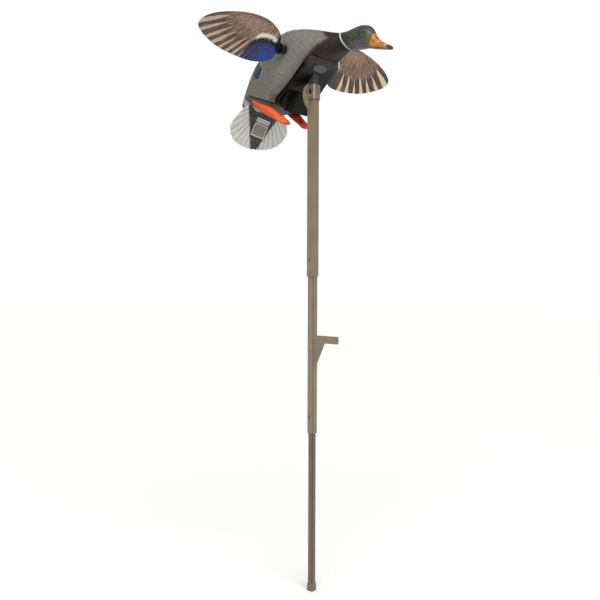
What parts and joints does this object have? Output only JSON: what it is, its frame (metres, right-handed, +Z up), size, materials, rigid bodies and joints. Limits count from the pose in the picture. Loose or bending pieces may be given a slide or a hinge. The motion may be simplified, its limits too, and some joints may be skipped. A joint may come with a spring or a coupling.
{
  "type": "motion wing decoy",
  "caption": "Spinning-wing drake decoy on a telescoping square steel ground pole with a foot step, a clamping wing screw and a belly housing for its motor and batteries.",
  "frame": {"origin": "centre of the underside of the pole's foot cap", "axes": "+Z up the pole, +X the way the bird heads and the foot step points, +Y the bird's left"},
  "size_m": [0.4724, 0.774, 1.4447],
  "materials": {
    "pole_steel": "satin tan paint",
    "foot_plastic": "matt moulded",
    "bare_steel": "zinc plated",
    "black_plastic": "semi-gloss moulded",
    "shell_plastic": "matt painted",
    "head_plastic": "satin painted",
    "bill_plastic": "satin painted",
    "eye_plastic": "polished",
    "tail_plastic": "matt printed",
    "leg_rubber": "satin",
    "wing_plastic": "matt printed",
    "motor_steel": "plated",
    "brass": "plain",
    "battery_wrap": "shrink wrapped",
    "board": "lacquered"
  },
  "bodies": {
    "foot_section": {"foot_cap": "foot_plastic", "lower_tube": "pole_steel", "lower_button_spring": "bare_steel"},
    "lower_button": {"lower_button": "bare_steel"},
    "middle_section": {"middle_tube": "pole_steel", "step_bar": "pole_steel", "step_gusset": "pole_steel", "upper_button_spring": "bare_steel"},
    "upper_button": {"upper_button": "bare_steel"},
    "upper_section": {"upper_tube": "pole_steel", "coupler_sleeve": "pole_steel", "weld_nut": "pole_steel"},
    "wing_screw": {"wing_screw": "pole_steel"},
    "decoy": {"mount_post": "black_plastic", "body_shell": "shell_plastic", "head": "head_plastic", "bill": "bill_plastic", "right_eye": "eye_plastic", "left_eye": "eye_plastic", "tail_fan": "tail_plastic", "right_leg": "leg_rubber", "left_leg": "leg_rubber", "belly_housing": "black_plastic", "battery_pack": "battery_wrap", "right_contact": "brass", "left_contact": "brass", "motor": "motor_steel", "motor_cradle": "black_plastic", "receiver_board": "board", "switch_body": "black_plastic", "right_bush": "black_plastic", "left_bush": "black_plastic", "housing_screw_1": "bare_steel", "housing_screw_2": "bare_steel", "housing_screw_3": "bare_steel", "housing_screw_4": "bare_steel"},
    "power_rocker": {"power_rocker": "black_plastic"},
    "battery_door": {"battery_door": "black_plastic"},
    "door_latch": {"door_latch": "black_plastic"},
    "spinner": {"wing_shaft": "bare_steel", "right_hub": "black_plastic", "left_hub": "black_plastic"},
    "right_wing": {"right_wing": "wing_plastic", "right_wing_clip": "black_plastic"},
    "left_wing": {"left_wing": "wing_plastic", "left_wing_clip": "black_plastic"}
  },
  "joints": [
    {"name": "middle_slide", "type": "slide", "parent": "foot_section", "child": "middle_section", "axis": [0, 0, -1], "range_m": [0, 0.32]},
    {"name": "upper_slide", "type": "slide", "parent": "middle_section", "child": "upper_section", "axis": [0, 0, -1], "range_m": [0, 0.14]},
    {"name": "lower_button_press", "type": "slide", "parent": "foot_section", "child": "lower_button", "axis": [0, 1, 0], "range_m": [0, 0.003], "stiffness_N_per_m": 300, "springref_m": -0.001},
    {"name": "upper_button_press", "type": "slide", "parent": "middle_section", "child": "upper_button", "axis": [0, 1, 0], "range_m": [0, 0.003], "stiffness_N_per_m": 300, "springref_m": -0.001},
    {"name": "wing_screw_turn", "type": "hinge", "parent": "upper_section", "child": "wing_screw", "pos_m": [0, -0.02, 1.268], "axis": [0, -1, 0], "range_deg": [0, 270]},
    {"name": "decoy_lift", "type": "slide", "parent": "upper_section", "child": "decoy", "axis": [0, 0, 1], "range_m": [0, 0.045]},
    {"name": "wing_spin", "type": "hinge", "parent": "decoy", "child": "spinner", "pos_m": [-0.024, 0, 1.377], "axis": [0, 1, 0], "continuous": true},
    {"name": "right_wing_pull", "type": "slide", "parent": "spinner", "child": "right_wing", "axis": [0, -1, 0], "range_m": [0, 0.012]},
    {"name": "left_wing_pull", "type": "slide", "parent": "spinner", "child": "left_wing", "axis": [0, 1, 0], "range_m": [0, 0.012]},
    {"name": "door_slide", "type": "slide", "parent": "decoy", "child": "battery_door", "axis": [-0.3025, 0, -0.9532], "range_m": [0, 0.014]},
    {"name": "latch_turn", "type": "hinge", "parent": "battery_door", "child": "door_latch", "pos_m": [-0.03621, 0, 1.27115], "axis": [0.9532, 0, -0.3025], "range_deg": [0, 90]},
    {"name": "power_switch", "type": "hinge", "parent": "decoy", "child": "power_rocker", "pos_m": [0.02279, -0.029, 1.34294], "axis": [0, 1, 0], "range_deg": [-8, 8]}
  ]
}
